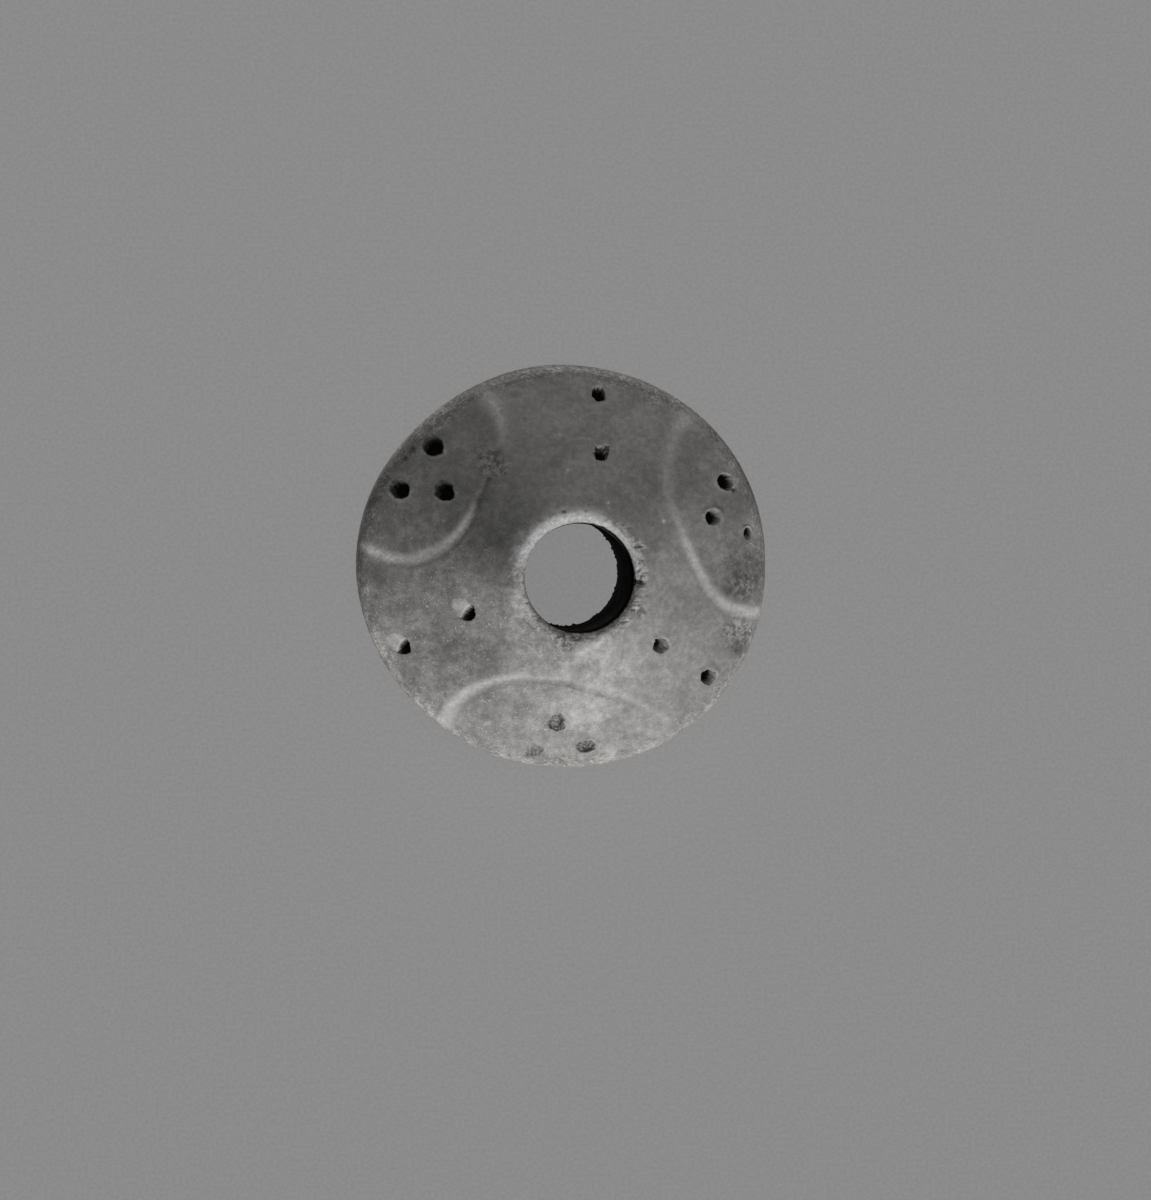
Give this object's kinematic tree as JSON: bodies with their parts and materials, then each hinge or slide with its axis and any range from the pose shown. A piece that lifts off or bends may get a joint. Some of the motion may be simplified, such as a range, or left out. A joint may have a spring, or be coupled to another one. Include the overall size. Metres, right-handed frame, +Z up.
{
  "type": "clay spindle whorl",
  "caption": "Low biconical spindle whorl of fired clay with an off-centre hole, scratched horseshoe arcs and pricked pits on its upper face.",
  "frame": {"origin": "on the base plane, under the middle of the outline", "axes": "+Z up along the hole, from the plain lower face to the decorated upper face; +X and +Y in the base plane, the widest way across lying close to X"},
  "size_m": [0.0364, 0.0356, 0.0115],
  "materials": {
    "clay": "low-fired hand-smoothed clay, matt with worn burnish, pitted and rubbed pale on its edges"
  },
  "bodies": {
    "root": {"whorl": "clay"}
  },
  "joints": []
}
